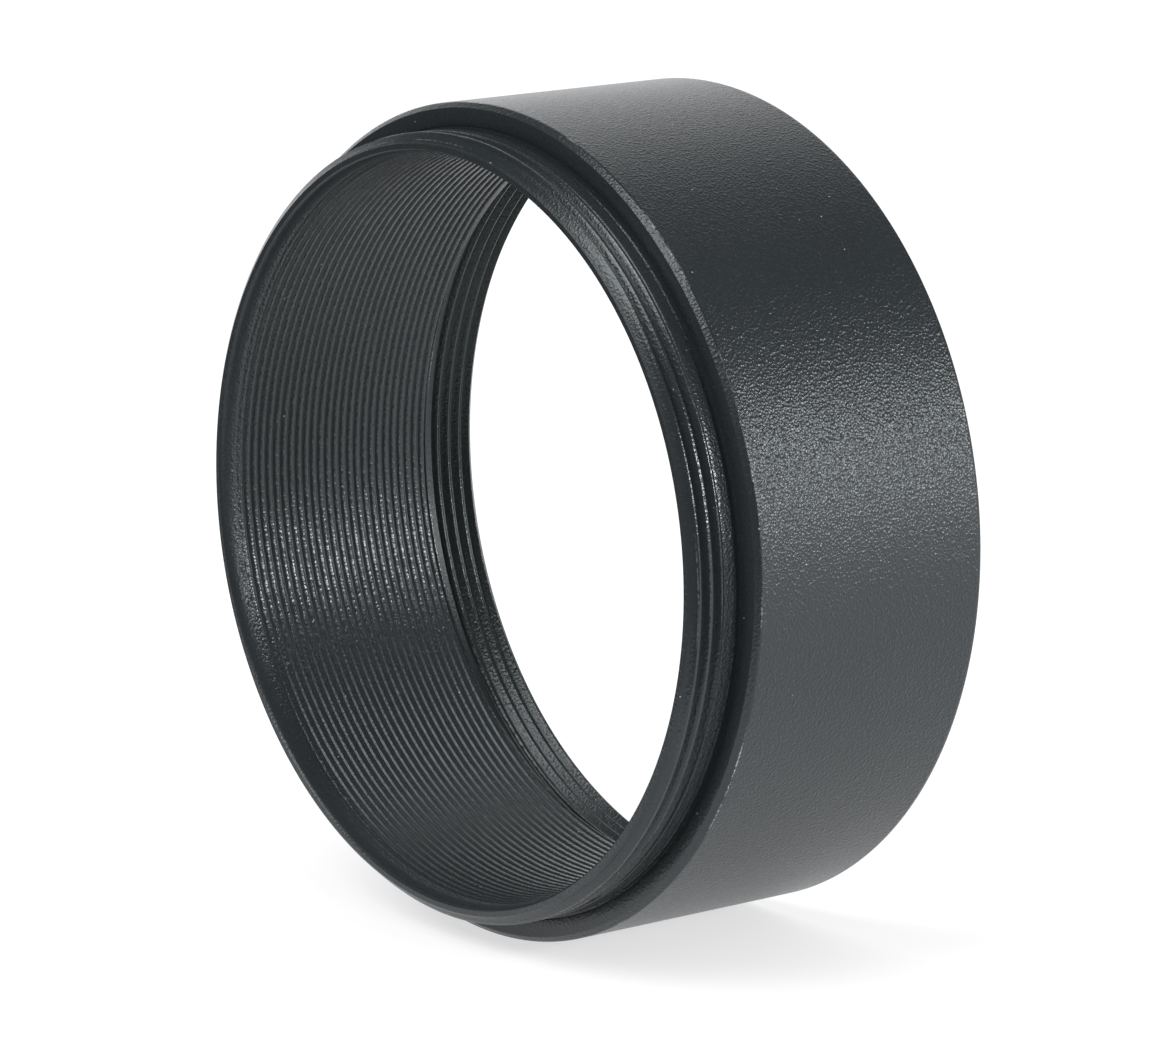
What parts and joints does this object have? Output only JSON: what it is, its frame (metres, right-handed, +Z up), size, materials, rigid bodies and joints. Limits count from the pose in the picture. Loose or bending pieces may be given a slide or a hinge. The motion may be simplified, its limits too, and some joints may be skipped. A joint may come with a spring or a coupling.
{
  "type": "telescope extension tube",
  "caption": "Short black anodised threaded extension ring: male thread in front, female thread behind, baffled clear bore between.",
  "frame": {"origin": "on the optical axis, in the plane of the shoulder behind the male thread", "axes": "+Y along the optical axis towards the female end, the male end points to -Y; +Z up, with the ring lying on its round side"},
  "size_m": [0.0446, 0.018, 0.0446],
  "materials": {
    "black_anodised_aluminium": "bead-blasted, black anodised, satin"
  },
  "bodies": {
    "root": {"extension_tube": "black_anodised_aluminium"}
  },
  "joints": []
}
